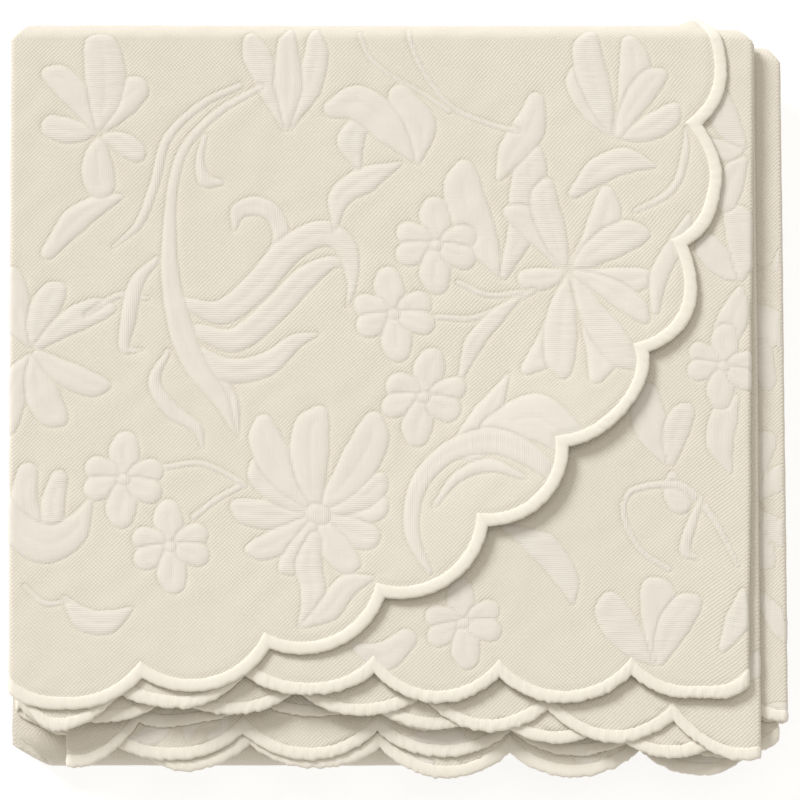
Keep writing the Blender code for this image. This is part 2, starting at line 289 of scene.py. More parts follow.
def scalloped_line(inset, steps):
    """The sheet's outline drawn in by inset, with steps points to each scallop."""
    notches = all_notches()
    arcs = []
    for a, b in zip(notches, notches[1:]):
        chord = b - a
        out = Vector((-chord.y, chord.x)).normalized()
        deep = SCALLOP_DEEP * chord.length
        radius = (chord.length_squared / 4 + deep**2) / (2 * deep)
        arcs.append(((a + b) / 2 - out * (radius - deep), out, chord.normalized(), radius))

    def mitre(i):
        if i in (0, len(arcs)):
            centre, _, _, radius = arcs[min(i, len(arcs) - 1)]
            s = HEAD - inset
            deep = math.sqrt((radius - inset) ** 2 - (s - centre.x) ** 2)
            return Vector((s, centre.y + (deep if i else -deep)))
        inward = -(arcs[i - 1][1] + arcs[i][1]).normalized()
        deep = 0.0
        for centre, _, _, radius in (arcs[i - 1], arcs[i]):
            down = (notches[i] - centre).dot(inward)
            deep -= (down + math.sqrt(down**2 - radius**2 + (radius - inset) ** 2)) / 2
        return notches[i] + inward * deep

    points = []
    for i, (centre, out, way, radius) in enumerate(arcs):
        first, last = mitre(i), mitre(i + 1)
        start = math.atan2((first - centre).dot(way), (first - centre).dot(out))
        end = math.atan2((last - centre).dot(way), (last - centre).dot(out))
        points.append(first)
        for step in range(1, steps):
            angle = start + (end - start) * step / steps
            points.append(centre + (out * math.cos(angle) + way * math.sin(angle)) * (radius - inset))
    points.append(mitre(len(arcs)))
    return np.array([p[:] for p in points])


print("scallops:", len(all_notches()) - 1)

# %% [markdown]
# The figures are laid out for this piece: climbing stems, curled leaves, open blossoms and small
# four-petalled flowers, the stock of old woven coverlets. Every one is built from strokes, and a stroke is a
# row of circles along a curve. The depth of a point inside a stroke is then a simple distance, and that one
# number gives the puff of the cloth, the stitched line at the stroke's edge and the change of weave.

# %% Strokes
def through(points, steps):
    """Points along the smooth curve that passes through a few places."""
    p = np.array(points, float)
    p = np.concatenate([[2 * p[0] - p[1]], p, [2 * p[-1] - p[-2]]])
    u = np.linspace(0, len(points) - 1, steps)
    k = np.minimum(u.astype(int), len(points) - 2)
    f = (u - k)[:, None]
    a, b, c, d = p[k], p[k + 1], p[k + 2], p[k + 3]
    return b + f * ((c - a) / 2 + f * ((2 * a - 5 * b + 4 * c - d) / 2 + f * (3 * b - a - 3 * c + d) / 2))


def stroke(rib, widths, points):
    """One stroke: the way its weave is ribbed, its half-widths from start to end, and where it passes."""
    steps = 10 * len(points)
    middle = through(points, steps)
    radius = np.interp(np.linspace(0, 1, steps), np.linspace(0, 1, len(widths)), widths)
    vein = middle[steps // 6 : -steps // 7] if radius.max() > 6.5 else middle[:0]
    return {"middle": middle, "radius": radius, "rib": rib, "vein": vein}


def small_flower(x, y, turn=0.0, size=1.0):
    """Four petals, the upright pair longer, the level pair notched, round a small eye."""
    a = math.radians(turn)
    spin = np.array([[math.cos(a), math.sin(a)], [-math.sin(a), math.cos(a)]]) * size
    rows = []
    for way in (-1, 1):
        upright = ((0, 5 * way), (0.6, 13 * way), (-0.6, 21 * way), (0, 27 * way))
        rows.append((1, (5.0, 9.0, 10.0, 8.0), upright))
        for lean in (-1, 1):
            level = ((4 * way, lean), (12 * way, 5.5 * lean), (19 * way, 7.5 * lean))
            rows.append((1, (3.4, 7.2, 8.2), level))
    rows.append((0, (4.2, 4.2), ((-0.5, 0), (0.5, 0))))
    placed = [np.array(points) @ spin + (x, y) for _, _, points in rows]
    return [(rib, [w * size for w in widths], at) for (rib, widths, _), at in zip(rows, placed)]


def fan(x, y, petals):
    """An open blossom. Each petal is its angle from upright, its length, its half-width and its weave."""
    rows = []
    for k, (angle, length, wide, rib) in enumerate(petals):
        a = math.radians(angle)
        out, side = np.array([math.sin(a), -math.cos(a)]), np.array([math.cos(a), math.sin(a)])
        bend = length * (0.07 if k % 2 else -0.06)
        places = [out * 5, out * length * 0.4 + side * bend, out * length * 0.75 + side * bend]
        places.append(out * (length - wide * 0.5))
        rows.append((rib, (3.0, wide * 0.72, wide, wide * 0.9, wide * 0.5), np.array(places) + (x, y)))
    return rows


# %% [markdown]
# Each table below is one part of the pattern. A row is the weave (0 plain, 1 ribs one way, 2 the other),
# the half-widths from start to end, and the places that the stroke passes through, in millimetres to the
# right of and below the panel's top left corner, as it lies in the pile.

# %% The climbing stem and its curled leaf
CURLED_LEAF = (
    (0, (2.5, 3.2, 3.6, 3.4, 1.5), ((174, 61), (146, 75), (121, 100), (111, 134), (100, 161), (82, 178))),
    (0, (2, 3, 4.6, 2.4), ((148, 98), (144, 115), (147, 130), (158, 132))),
    (0, (2.5, 4.6, 5, 3.4, 1), ((111, 188), (97, 205), (91, 230), (88, 252), (100, 253))),
    (0, (2, 4.5, 5, 4, 1), ((118, 254), (109, 276), (122, 297), (140, 310), (144, 324))),
    (0, (4, 7, 5, 1), ((132, 262), (150, 276), (163, 292), (169, 316))),
    (2, (4, 8, 8, 5, 1.5), ((137, 253), (159, 268), (185, 264), (204, 248), (220, 242))),
    (2, (5, 8, 8, 7.5, 4.5, 1), ((139, 240), (164, 246), (192, 224), (215, 201), (234, 190), (243, 194))),
    (0, (3, 5, 6, 6.5, 5, 1.5), ((186, 192), (198, 175), (196, 157), (183, 149), (170, 153), (166, 166))),
    (
        2,
        (4, 8, 9, 9, 8.5, 7, 3.5, 1),
        ((130, 219), (155, 226), (181, 207), (204, 181), (229, 169), (245, 181), (247, 205), (242, 222)),
    ),
    (
        1,
        (2.6, 3.2, 3.6, 4.2, 6, 8, 7, 5, 1.5),
        ((189, 62), (157, 81), (131, 111), (122, 153), (121, 200), (128, 242), (139, 268), (156, 290), (166, 312)),
    ),
)

# %% Buds, leaves and petals behind it
LEFT_SIDE = (
    *fan(24, 252, ((-14, 62, 12, 1), (196, 62, 11, 1))),
    *fan(24, 252, ((24, 52, 10, 2), (158, 60, 11, 1), (62, 66, 9, 2), (118, 62, 9, 1))),
    (1, (5, 9, 7, 2), ((36, 182), (54, 160), (70, 149), (88, 142))),
    (0, (2, 2.4, 2), ((62, 228), (84, 214), (104, 216))),
    (1, (7, 9, 7), ((22, 340), (20, 358), (26, 378))),
    (2, (6, 8, 7), ((44, 346), (40, 362), (40, 380))),
    (1, (3, 11, 13, 10, 2), ((2, 352), (16, 380), (36, 392), (54, 384), (66, 362))),
    (2, (2, 8, 8, 2), ((48, 432), (62, 447), (78, 449), (94, 440))),
    (0, (1.6, 2.2, 1.6), ((20, 420), (34, 434), (50, 434))),
    *fan(73, 96, ((-78, 42, 9, 2), (176, 46, 11, 1))),
    *fan(73, 96, ((122, 36, 8, 2), (-40, 62, 10, 1), (42, 50, 11, 1), (-2, 74, 14, 2))),
    (2, (1.5, 9, 10, 4), ((205, 93), (198, 66), (188, 40), (182, 24))),
    (2, (2, 9, 8, 3), ((209, 92), (223, 62), (231, 36), (228, 18))),
    (1, (2, 10, 7, 2), ((207, 92), (209, 60), (210, 32), (209, 16))),
)

# %% The blossom beside the hem, and the crescent leaf
LOW_BLOSSOM = (
    (0, (2.3, 2.3), ((118, 338), (141, 335), (159, 342), (173, 351))),
    (0, (2.3, 2.3), ((138, 374), (154, 361), (170, 352))),
    *fan(225, 372, ((-84, 62, 10, 2), (80, 50, 9, 1))),
    *fan(225, 372, ((-118, 58, 9, 1), (112, 46, 10, 2), (-148, 50, 9, 2), (146, 48, 10, 1))),
    *fan(224, 372, ((-50, 60, 10, 2), (60, 56, 9, 2), (-30, 82, 12, 1), (30, 84, 13, 1), (0, 78, 13, 1))),
    (2, (5, 9, 8, 2), ((222, 390), (218, 408), (221, 430), (212, 452))),
    (1, (2, 8, 8, 2), ((214, 452), (232, 440), (244, 424), (262, 418))),
    (0, (6.5, 6.5), ((223, 371), (227, 373))),
    (1, (12, 10, 1.5), ((332, 322), (342, 300), (352, 272))),
    (1, (12, 16, 13, 8), ((350, 313), (372, 303), (394, 315), (410, 332))),
    (
        0,
        (2.5, 5, 6, 7, 9, 8, 5),
        ((302, 414), (290, 386), (294, 353), (314, 329), (344, 320), (370, 330), (392, 348)),
    ),
    (0, (2, 4, 5, 2), ((306, 366), (322, 346), (344, 338), (368, 347))),
)

# %% Stems and leaves in the middle and at the rear
MIDDLE = (
    (0, (2.2, 2.2), ((303, 230), (326, 231), (348, 223), (372, 211))),
    (0, (2.2, 2.2), ((321, 205), (340, 214), (364, 212))),
    (2, (1.8, 6, 5, 1.5), ((319, 276), (327, 250), (344, 230), (364, 214))),
    (2, (1.5, 7, 9, 1.5), ((237, 166), (242, 143), (260, 130), (286, 118))),
    (0, (2.2, 2.2), ((296, 16), (307, 50), (326, 77), (355, 90), (372, 94))),
    (0, (2, 2), ((261, 20), (274, 46), (307, 68), (323, 80))),
    (2, (3, 9, 6), ((256, 120), (252, 102), (260, 88))),
    (1, (2, 12, 12, 6), ((296, 116), (281, 92), (259, 74), (240, 78))),
    (1, (2, 10, 8), ((299, 117), (303, 90), (289, 69))),
)

# %% The blossoms on the right
RIGHT_SIDE = (
    *fan(352, 205, ((-14, 92, 14, 1), (12, 116, 12, 2))),
    (1, (3, 9, 11, 6), ((356, 128), (366, 110), (380, 92), (386, 72))),
    *fan(398, 198, ((-96, 36, 8, 1), (-40, 62, 10, 1))),
    *fan(398, 198, ((-8, 70, 10, 2), (30, 72, 10, 1), (62, 66, 11, 2), (92, 58, 9, 1))),
    *fan(400, 196, ((206, 84, 10, 1), (188, 80, 11, 2), (170, 84, 11, 1), (150, 84, 11, 2), (128, 62, 9, 1))),
    (2, (4, 9, 9, 2), ((408, 140), (426, 124), (446, 116), (466, 120))),
    (0, (2, 3, 3, 1.5), ((450, 153), (477, 138), (489, 112), (493, 92))),
    (1, (3, 6, 6, 2), ((454, 226), (461, 200), (477, 174), (487, 156))),
    *fan(441, 101, ((-26, 60, 9, 1), (62, 54, 9, 2), (-8, 84, 11, 2), (14, 80, 11, 1), (38, 66, 9, 1))),
)

# %% The figures that show on the second panel
SECOND_PANEL = (
    *fan(470, 346, ((-16, 66, 12, 1), (-200, 34, 8, 1), (16, 50, 9, 2))),
    (0, (2, 2.6, 3.2, 3, 2), ((437, 372), (446, 361), (477, 359), (500, 380), (518, 411))),
    (0, (2, 3.8, 4.2, 2), ((492, 368), (485, 388), (481, 406), (489, 412))),
    (2, (2, 10, 8, 1.5), ((352, 386), (381, 403), (398, 426), (403, 444))),
    *fan(462, 492, ((-34, 66, 12, 2), (-4, 66, 13, 1), (28, 60, 11, 2))),
    (1, (2, 9, 9, 3), ((512, 344), (505, 326), (508, 306), (516, 290))),
    *fan(520, 206, ((-40, 44, 10, 1), (-8, 58, 11, 2), (200, 46, 10, 1))),
    *fan(522, 110, ((-24, 54, 10, 2), (-160, 46, 10, 1), (-80, 34, 8, 1))),
    (1, (7, 10, 4), ((286, 470), (270, 484), (252, 480))),
    (0, (2.2, 2.2), ((470, 420), (452, 408), (440, 388), (437, 372))),
    (2, (3, 8, 3), ((522, 430), (518, 452), (508, 474))),
)


# %% [markdown]
# On the cloth, the top panel runs right to left and its reverse, the second panel, left to right. The loom
# weaves the same figures again and again, so the other layers get copies of the first panel's.

# %% Lay the figures on the cloth
def lay(rows, s_from, s_way, t_from, swell=1.0):
    """Strokes from rows of a table, moved from the panel as it lies to the flat cloth. Swell widens petals."""
    found = []
    for rib, widths, points in rows:
        points = np.array(points, float)
        widths = [w * (swell if w > 4.5 else 1.0) for w in widths]
        places = np.column_stack([s_from + s_way * points[:, 0], t_from - points[:, 1]])
        found.append(stroke(rib, widths, places))
    return found


petals = [*LEFT_SIDE, *LOW_BLOSSOM, *RIGHT_SIDE]
leaves = [*CURLED_LEAF, *MIDDLE]
for flower in ((307, 178, 4), (274, 228, -3, 0.97), (296, 288, 5), (89, 347, 3, 0.98), (122, 395, -4, 0.95)):
    leaves += small_flower(*flower)
second_rows = [*SECOND_PANEL, *small_flower(507, 268, 5, 0.9), *small_flower(326, 458, -6, 0.95)]
TOP_CORNER = (508.9, -1, 493.0)
SECOND_CORNER = (493.0, 1, 497.0)
REPEAT = (519.0, 560.0)
ONE_REPEAT = lay(petals, *TOP_CORNER, 1.08) + lay(leaves, *TOP_CORNER, 1.12)
STROKES = ONE_REPEAT + lay(second_rows, *SECOND_CORNER, 1.08)
for across_count in range(5):
    for along_count in range(4):
        if (across_count, along_count) in ((0, 0), (1, 0)):
            continue
        shift = (REPEAT[0] * across_count, REPEAT[1] * along_count)
        for one in ONE_REPEAT:
            STROKES.append({**one, "middle": one["middle"] + shift, "vein": one["vein"] + shift})
print("strokes in one repeat:", len(ONE_REPEAT), "laid out:", len(STROKES))


# %% [markdown]
# Each point of the cloth now asks every stroke how deep it lies. Strokes are taken in order, so a later one
# covers an earlier one, and its edge becomes a stitched valley between the two.

# %% Read the figures at points of the flat cloth
def read_figures(s, t):
    """For each point: depth inside the figures, puff from 0 to 1, stitched line from 0 to 1, and weave."""
    points = np.stack([s, t], axis=1)
    depth, puff = np.full(len(s), -20.0), np.zeros(len(s))
    line, weave = np.zeros(len(s)), np.zeros(len(s))
    for one in STROKES:
        room = one["radius"].max() + 6
        low, high = one["middle"].min(0) - room, one["middle"].max(0) + room
        near = np.flatnonzero(((points > low) & (points < high)).all(axis=1))
        if not len(near):
            continue
        away = np.linalg.norm(points[near, None] - one["middle"][None], axis=2)
        deep = (one["radius"][None] - away).max(axis=1)
        inside = deep > 0
        edge = np.exp(-((deep / 1.6) ** 2))
        line[near] = np.where(inside, edge, np.maximum(line[near], edge))
        puff[near] = np.where(inside, 1 - np.exp(-deep / 2.6), puff[near])
        weave[near] = np.where(inside, one["rib"], weave[near])
        depth[near] = np.maximum(depth[near], deep)
        if len(one["vein"]):
            apart = np.linalg.norm(points[near, None] - one["vein"][None], axis=2).min(axis=1)
            mark = np.exp(-((apart / 1.6) ** 2)) * inside
            line[near] = np.maximum(line[near], 0.5 * mark)
            puff[near] *= 1 - 0.3 * mark
    return depth, puff, line, weave


# %% [markdown]
# A piece of cloth starts as a flat grid, added as a primitive. Its rows and columns are slid to where the
# sheet needs them, close together at folds and hems, and what lies outside the scallops is deleted. The rim
# is then drawn out to a line inside the binding, so the binding hides the cut.

# %% Cut one flat grid
SEAM_INSET = 5.0
STITCHED_WIDE = 9.0
SEAM_LINE = scalloped_line(SEAM_INSET, 40)


def inside_line(points, line):
    """Which points lie inside a closed line."""
    inside = np.zeros(len(points), bool)
    for (s0, t0), (s1, t1) in zip(line, np.roll(line, -1, axis=0)):
        if t0 == t1:
            continue
        crossed = (points[:, 1] > min(t0, t1)) & (points[:, 1] <= max(t0, t1))
        at = s0 + (points[crossed, 1] - t0) * (s1 - s0) / (t1 - t0)
        inside[np.flatnonzero(crossed)[points[crossed, 0] < at]] ^= True
    return inside


def seam_tree():
    """A search tree of points about half a millimetre apart along the seam line."""
    dense = []
    for a, b in zip(SEAM_LINE, np.roll(SEAM_LINE, -1, axis=0)):
        count = max(int(np.linalg.norm(b - a) / 0.6), 1)
        dense.append(a + (b - a) * (np.arange(count) / count)[:, None])
    dense = np.concatenate(dense)
    tree = KDTree(len(dense))
    for i, point in enumerate(dense):
        tree.insert((*point, 0.0), i)
    tree.balance()
    return tree


SEAM_TREE = seam_tree()


def coordinates(obj):
    """The points of a piece as an array."""
    found = np.empty(len(obj.data.vertices) * 3)
    obj.data.vertices.foreach_get("co", found)
    return found.reshape(-1, 3)


def flat_grid(name, s_lines, t_lines_at, outside, n=0.0):
    """A flat grid on the given lines at height n, without the faces that outside says to drop."""
    t_table = np.stack([t_lines_at(m) for m in place_across(s_lines)[3]])
    bpy.ops.object.select_all(action="DESELECT")
    columns, rows = t_table.shape
    bpy.ops.mesh.primitive_grid_add(x_subdivisions=columns - 1, y_subdivisions=rows - 1, size=2)
    piece = bpy.context.object
    piece.name = piece.data.name = name
    unit = coordinates(piece)
    i = np.rint((unit[:, 0] + 1) / 2 * (columns - 1)).astype(int)
    j = np.rint((unit[:, 1] + 1) / 2 * (rows - 1)).astype(int)
    flat = np.stack([s_lines[i], t_table[i, j], np.full(len(i), n)], axis=1)
    piece.data.vertices.foreach_set("co", flat.ravel())
    trim(piece, flat, outside)
    if n < 0:
        piece.data.flip_normals()
    return piece


def trim(piece, flat, outside):
    """Deletes the faces beyond the seam line and draws the rest up to it."""
    corners = np.empty(len(piece.data.loops), int)
    piece.data.loops.foreach_get("vertex_index", corners)
    middles = flat[corners.reshape(-1, 4), :2].mean(axis=1)
    drop = ~inside_line(middles, SEAM_LINE) | outside(middles)
    bpy.context.tool_settings.mesh_select_mode = (False, False, True)
    piece.data.polygons.foreach_set("select", drop)
    bpy.ops.object.mode_set(mode="EDIT")
    bpy.ops.mesh.delete(type="FACE")
    bpy.ops.mesh.select_all(action="DESELECT")
    bpy.ops.mesh.select_mode(type="EDGE")
    bpy.ops.mesh.select_non_manifold()
    bpy.ops.object.mode_set(mode="OBJECT")
    for vertex in piece.data.vertices:
        if vertex.select:
            point, _, apart = SEAM_TREE.find((vertex.co.x, vertex.co.y, 0.0))
            if apart < 6.5:
                vertex.co = (point.x, point.y, vertex.co.z)


# %% [markdown]
# The folding step raises the figures, folds every point, and writes what the materials need. The UV map is
# the flat cloth in metres, so the weave has its true size everywhere. Three attributes hold the depth inside
# the figures, the stitched lines, and which way the fill of each figure is ribbed.

# %% Fold a piece and note its figures
PUFF_HIGH = 0.52
SLACK_WAVE = 0.22


def from_binding(s, t):
    """How far a point lies inside the binding's inner line. Under the binding it is negative."""
    found = np.full(len(s), 99.0)
    up = np.minimum(t, HEM_TO_HEM - t)
    round_corner = CORNER_RADIUS - np.hypot(CORNER_RADIUS - s, CORNER_RADIUS - up)
    near = (up < 30) | (s < 30) | ((s < CORNER_RADIUS) & (up < CORNER_RADIUS) & (round_corner < 30))
    for i in np.flatnonzero(near):
        found[i] = SEAM_TREE.find((s[i], t[i], 0.0))[2] - (STITCHED_WIDE - SEAM_INSET)
    return found


def finish_cloth(piece, figured):
    """Raises the figures where figured says, folds the cloth, and writes its UV map and attributes."""
    flat = coordinates(piece)
    s, t, n = flat.T
    depth, puff, line, weave = read_figures(s, t)
    shown = figured(s, t)
    depth, puff, line = np.where(shown, depth, -20.0), puff * shown, line * shown
    wave = np.sin(s / 7.1 + 1.3 * np.sin(t / 11.0)) * np.sin(t / 8.3 + 1.1 * np.sin(s / 13.0))
    inside = from_binding(s, t)
    raised = PUFF_HIGH * puff - 0.36 * line + SLACK_WAVE * wave
    raised = raised * ease(inside, -1.0, 5.0)
    raised = raised - 0.45 * np.exp(-(((inside - 0.6) / 1.7) ** 2)) - 0.25 * (inside < -1)
    n = n + np.sign(n) * np.where(n > 0, 1.0, 0.8) * raised
    piece.data.vertices.foreach_set("co", folded(s, t, n).ravel())
    for name, values in (("depth", depth), ("line", line), ("weave", weave)):
        made = piece.data.attributes.new(name, "FLOAT", "POINT")
        made.data.foreach_set("value", values.astype(np.float32))
    loops = np.empty(len(piece.data.loops), int)
    piece.data.loops.foreach_get("vertex_index", loops)
    uv = piece.data.uv_layers[0] if piece.data.uv_layers else piece.data.uv_layers.new()
    uv.name = "flat_cloth"
    uv.data.foreach_set("uv", (flat[loops, :2] / 1000).astype(np.float32).ravel())
    piece.data.flip_normals()
    piece.data.update()
    bpy.ops.object.shade_smooth()
    piece.data.calc_loop_triangles()
    print(piece.name, len(piece.data.loop_triangles), "triangles")


def join_faces(face, back):
    """Makes one piece of its two faces, given as flat grids."""
    bpy.ops.object.select_all(action="DESELECT")
    back.select_set(True)
    face.select_set(True)
    bpy.context.view_layer.objects.active = face
    bpy.ops.object.join()
    return face


# %% [markdown]
# The panel on top shows its whole face, so that face gets a grid of under two millimetres, fine enough for
# the puff of each petal to be real shape. Its hidden reverse has a wide grid. It includes the fold on its
# left and the turn at the rear.

# %% The top panel
HALF = CLOTH_THICK / 2
FINE = 1.76


def spaced(start, end, step):
    """Even places from start to end, about a step apart."""
    return np.linspace(start, end, max(int(round((end - start) / step)), 1) + 1)


def fine_rows(middle):
    """The rows of a face that shows, from beyond the front hem to the end of the rear turn."""
    return np.linspace(-22.0, turn_span(REAR_TURN, middle)[1], 311)


def wide_rows(middle):
    """The rows of a hidden face over the same stretch."""
    return np.linspace(-22.0, turn_span(REAR_TURN, middle)[1], 92)


def beyond(limit):
    """Says which faces lie past a fold."""
    return lambda middles: middles[:, 0] > limit


def everywhere(s, t):
    """Figures on the whole piece."""
    return np.ones(len(s), bool)


fold_columns = spaced(LENGTHS[0], STARTS[1], 0.68)
top_columns = np.unique(np.concatenate([spaced(-20.0, LENGTHS[0], FINE), fold_columns]))
back_columns = np.unique(np.concatenate([spaced(-20.0, LENGTHS[0], 8.0), fold_columns]))
top_panel = flat_grid("top_panel", top_columns, fine_rows, beyond(STARTS[1]), HALF)
top_panel = join_faces(top_panel, flat_grid("top_back", back_columns, wide_rows, beyond(STARTS[1]), -HALF))
finish_cloth(top_panel, everywhere)

# %% [markdown]
# The panel under it lies the other way up, so its reverse shows, at the lower right and along the front. Its
# right-hand fold runs the whole depth of the pile.

# %% The second panel
second_fold = spaced(STARTS[1] + LENGTHS[1], STARTS[2], 0.68)
second_columns = [spaced(STARTS[1], 690.0, 6.0), spaced(690.0, STARTS[1] + LENGTHS[1], 2.0), second_fold]
second_columns = np.unique(np.concatenate(second_columns))
back_columns = np.unique(np.concatenate([spaced(STARTS[1], STARTS[1] + LENGTHS[1], 8.0), second_fold]))
second_panel = flat_grid("second_panel", second_columns, fine_rows, beyond(STARTS[2]), -HALF)
second_back = flat_grid("second_back", back_columns, wide_rows, beyond(STARTS[2]), HALF)
second_panel = join_faces(second_panel, second_back)
finish_cloth(second_panel, everywhere)

# %% [markdown]
# The rest of the sheet is inside the pile. Only its hems, its folds and the strip on the far right show, so
# its grid is close there and wide elsewhere. Solidify gives this one its thickness before it is folded.

# %% The rest of the sheet
def rest_rows(middle):
    """Rows for the inner layers, close together at both hems and round each turn."""
    rows, last = [spaced(-22.0, 62.0, 4.2)], 62.0
    for turn, count in ((REAR_TURN, 14), (FRONT_TURN, 12), (INNER_TURN, 8)):
        start, end = turn_span(turn, middle)
        rows += [np.linspace(last, start, count)[1:], np.linspace(start, end, 13)[1:]]
        last = end
    rows += [np.linspace(last, HEM_TO_HEM - 62, 70)[1:], spaced(HEM_TO_HEM - 62, HEM_TO_HEM + 22, 4.2)[1:]]
    return np.concatenate(rows)


def rest_columns():
    """Columns for the inner layers: wide in the foot panel, closer where hems show, closest in the folds."""
    columns = [spaced(-22.0, 30.0, 5.0), spaced(30.0, LENGTHS[0], 16.0)]
    for panel in range(4):
        start = STARTS[panel] + LENGTHS[panel]
        columns.append(np.linspace(start, STARTS[panel + 1], 8))
        if panel < 3:
            columns.append(spaced(STARTS[panel + 1], STARTS[panel + 1] + LENGTHS[panel + 1], 9.0))
    columns += [spaced(STARTS[4], STARTS[4] + 50, 3.0), spaced(STARTS[4] + 50, HEAD, 14.0)]
    return np.unique(np.round(np.concatenate(columns), 4))


def shown_elsewhere(points):
    """Faces that the top and second panels already cover."""
    middle = place_across(points[:, 0])[3]
    return (points[:, 0] < STARTS[2]) & (points[:, 1] < turn_span(REAR_TURN, middle)[1])


def where_close(s, t):
    """Figures only where the grid is close enough to carry them."""
    return (t < 62) | (t > HEM_TO_HEM - 62) | ((s > STARTS[4]) & (s < STARTS[4] + 50) & (t > INNER_TURN))


inner_layers = flat_grid("inner_layers", rest_columns(), rest_rows, shown_elsewhere)
solidify = inner_layers.modifiers.new("thickness", "SOLIDIFY")
solidify.thickness = CLOTH_THICK
solidify.offset = 0.0
bpy.ops.object.modifier_apply(modifier=solidify.name)
finish_cloth(inner_layers, where_close)

# %% [markdown]
# The binding is dense satin stitching over the cut edge, so it is a rounded band that swells a little above
# the cloth. It is built as a ring of cross-sections, each from the outer line to the inner line, and folded
# with the same rule. Its outer rim is ragged by a fraction of a millimetre, as cut threads leave it, more so
# on the hems that rub against each other low in the pile.

# %% The binding
BINDING_STEPS = 66
# share of the way in from the edge, share of the half-thickness
SECTION = ((0.0, 0.0), (0.03, 0.42), (0.1, 0.76), (0.24, 1.0), (0.45, 1.14), (0.68, 1.1), (0.88, 0.92))
SECTION += ((1.0, 0.55),)


def dense_line(inset):
    """The outline with its straight head edge cut into short steps too."""
    line = scalloped_line(inset, BINDING_STEPS)
    head = np.linspace(line[-1], line[0], 500)[1:-1]
    return np.concatenate([line, head])


def build_binding():
    """The ring of cross-sections as one closed mesh."""
    outer, inner = dense_line(0.0), dense_line(STITCHED_WIDE)
    count = len(outer)
    random = np.random.default_rng(7)
    run = np.concatenate([[0.0], np.cumsum(np.linalg.norm(np.diff(outer, axis=0), axis=1))])
    wander = 0.25 * np.sin(run * 0.57 + 1.0) + 0.2 * np.sin(run * 1.31 + 2.0)
    ragged = np.convolve(random.normal(0, 1, count + 1), (0.5, 0.5), mode="valid")
    rubbed = np.where((outer[:, 0] > STARTS[1]) | (outer[:, 1] > HEM_TO_HEM / 2), 0.5, 0.16)
    outward = outer - inner
    outward /= np.linalg.norm(outward, axis=1)[:, None]
    outer = outer + outward * (0.6 * wander + rubbed * ragged)[:, None]
    ring = list(SECTION) + [(share, -high) for share, high in SECTION[-1:0:-1]]
    flat, where = [], []
    for share, high in ring:
        side = outer * (1 - share) + inner * share
        lump = 1 + 0.05 * np.sin(run * 0.8 + share * 3) + 0.05 * random.normal(0, 1, count)
        flat.append(np.column_stack([side, high * BINDING_THICK / 2 * lump]))
        where.append(np.column_stack([run, np.full(count, share * STITCHED_WIDE * (1 if high >= 0 else -1))]))
    flat, where = np.stack(flat, axis=1), np.stack(where, axis=1)
    around = len(ring)
    index = np.arange(count * around).reshape(count, around)
    nxt, up = np.roll(index, -1, axis=0), np.roll(index, -1, axis=1)
    faces = np.stack([index, nxt, np.roll(nxt, -1, axis=1), up], axis=2).reshape(-1, 4)
    s, t, n = flat.reshape(-1, 3).T
    mesh = bpy.data.meshes.new("stitched_binding")
    mesh.from_pydata(folded(s, t, n).tolist(), [], faces.tolist())
    binding = bpy.data.objects.new("stitched_binding", mesh)
    bpy.context.scene.collection.objects.link(binding)
    uv = mesh.uv_layers.new(name="along_edge")
    loops = np.empty(len(mesh.loops), int)
    mesh.loops.foreach_get("vertex_index", loops)
    uv.data.foreach_set("uv", (where.reshape(-1, 2)[loops] / 1000).astype(np.float32).ravel())
    turn_out(binding)
    bpy.ops.object.shade_smooth()
    print("binding", 2 * len(faces), "triangles,", round(run[-1] / 1000, 2), "m long")
    return binding


def turn_out(piece):
    """Points every face of a closed piece outwards."""
    bpy.ops.object.select_all(action="DESELECT")
    piece.select_set(True)
    bpy.context.view_layer.objects.active = piece
    bpy.ops.object.mode_set(mode="EDIT")
    bpy.ops.mesh.select_all(action="SELECT")
    bpy.ops.mesh.normals_make_consistent(inside=False)
    bpy.ops.object.mode_set(mode="OBJECT")


stitched_binding = build_binding()

# %% [markdown]
# Three effects make the cloth: the dotted ground weave, the fine ribs that fill the figures, and the uneven
# tone of undyed cotton. Each is a node group with its own inputs, so that the same effect can be set
# differently in each material.

# %% Shared node helpers
def new_group(name, inputs, outputs):
    """An empty shader group with named inputs (name, default) and outputs."""
    group = bpy.data.node_groups.new(name, "ShaderNodeTree")
    for label, default in inputs:
        kind = "NodeSocketVector" if default is None else "NodeSocketFloat"
        made = group.interface.new_socket(label, in_out="INPUT", socket_type=kind)
        if default is not None:
            made.default_value = default
    for label in outputs:
        group.interface.new_socket(label, in_out="OUTPUT", socket_type="NodeSocketFloat")
    return group, group.nodes.new("NodeGroupInput"), group.nodes.new("NodeGroupOutput")


def maths(tree, operation, a, b=0.0, c=None):
    """A maths node whose inputs are sockets or numbers; gives its output."""
    node = tree.nodes.new("ShaderNodeMath")
    node.operation = operation
    for socket, value in zip(node.inputs, (a, b, c)):
        if value is None:
            continue
        if isinstance(value, bpy.types.NodeSocket):
            tree.links.new(value, socket)
        else:
            socket.default_value = value
    return node.outputs[0]


def step_between(tree, value, low, high):
    """0 below low, 1 above high, smooth between."""
    node = tree.nodes.new("ShaderNodeMapRange")
    node.interpolation_type = "SMOOTHSTEP"
    tree.links.new(value, node.inputs["Value"])
    node.inputs["From Min"].default_value = low
    node.inputs["From Max"].default_value = high
    return node.outputs["Result"]


def blend_colours(tree, share, a, b):
    """Colour a where share is 0 and b where it is 1. Either may be a socket."""
    node = tree.nodes.new("ShaderNodeMix")
    node.data_type = "RGBA"
    tree.links.new(share, node.inputs["Factor"])
    for socket, value in ((node.inputs["A"], a), (node.inputs["B"], b)):
        if isinstance(value, bpy.types.NodeSocket):
            tree.links.new(value, socket)
        else:
            socket.default_value = (*value, 1)
    return node.outputs["Result"]


